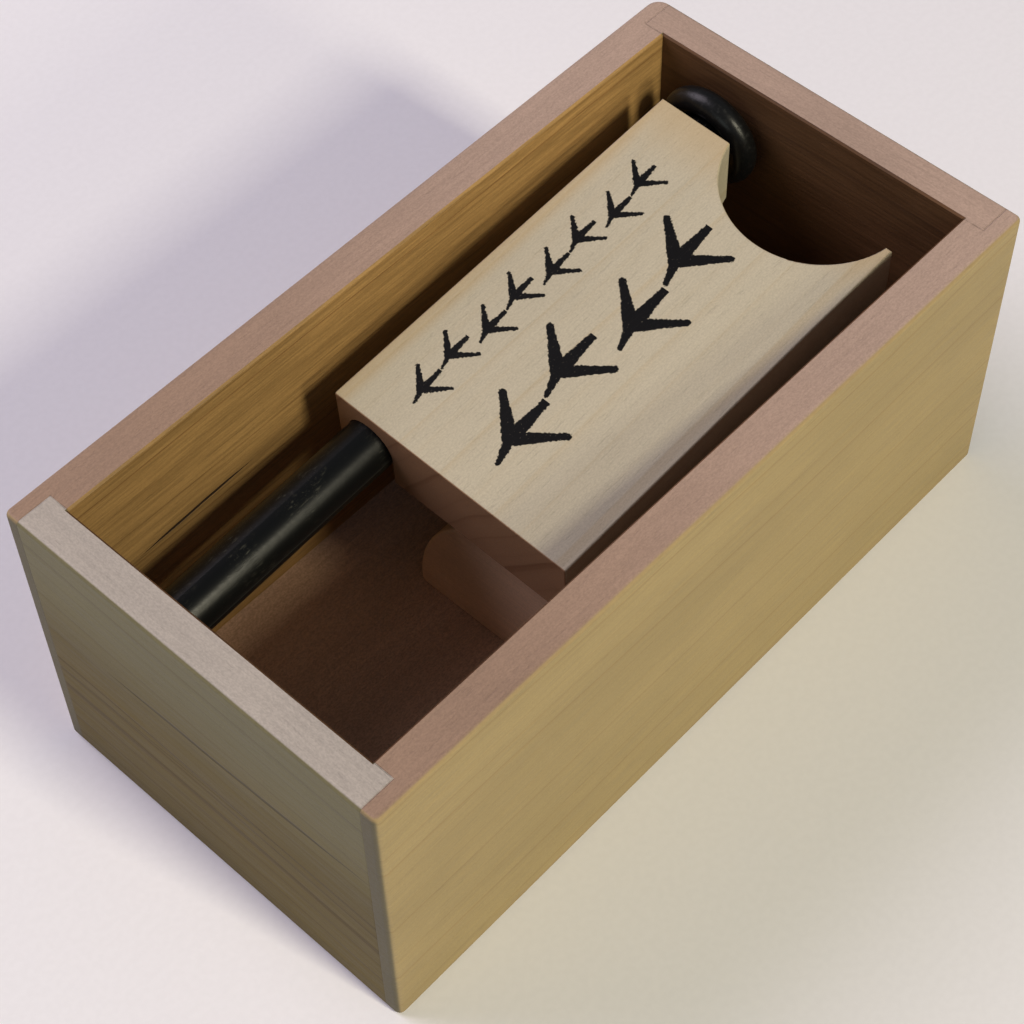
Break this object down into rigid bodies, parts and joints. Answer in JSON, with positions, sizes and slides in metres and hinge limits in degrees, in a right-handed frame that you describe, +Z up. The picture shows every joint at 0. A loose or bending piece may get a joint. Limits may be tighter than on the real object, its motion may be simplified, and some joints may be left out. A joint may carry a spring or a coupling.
{
  "type": "box turkey call",
  "caption": "Open wooden box call: a grooved striker block slides on a pitched rod inside and rubs an upright sounding board.",
  "frame": {"origin": "centre of the underside of the box, on the surface that it stands on", "axes": "+X along the box towards the end where the rod is higher, +Y across it towards the rear wall, which the rod is nearer to, +Z up out of the open top"},
  "size_m": [0.1264, 0.066, 0.0538],
  "materials": {
    "side_wood": "sanded, unvarnished, straight fine grain",
    "end_wood": "sanded, unvarnished, straight grain across the end",
    "bottom_wood": "sanded, unvarnished",
    "sounding_wood": "sanded, reddish, unvarnished",
    "striker_wood": "pale, fine-grained, sanded, with a black printed pattern",
    "rod_plastic": "smooth black, semi-gloss, scuffed",
    "ring_rubber": "smooth black rubber"
  },
  "bodies": {
    "box": {"front_side_wall": "side_wood", "rear_side_wall": "side_wood", "left_end_board": "end_wood", "right_end_board": "end_wood", "bottom_board": "bottom_wood", "sounding_board": "sounding_wood"},
    "rod": {"guide_rod": "rod_plastic", "bumper_ring": "ring_rubber"},
    "striker": {"striker_block": "striker_wood"}
  },
  "joints": [
    {"name": "rod_turn", "type": "hinge", "parent": "box", "child": "rod", "pos_m": [-0.06315, 0.01483, 0.0353], "axis": [-0.9972, 0, -0.075], "range_deg": [0, 105]},
    {"name": "striker_slide", "type": "slide", "parent": "rod", "child": "striker", "axis": [-0.9972, 0, -0.075], "range_m": [-0.0012, 0.038]}
  ]
}
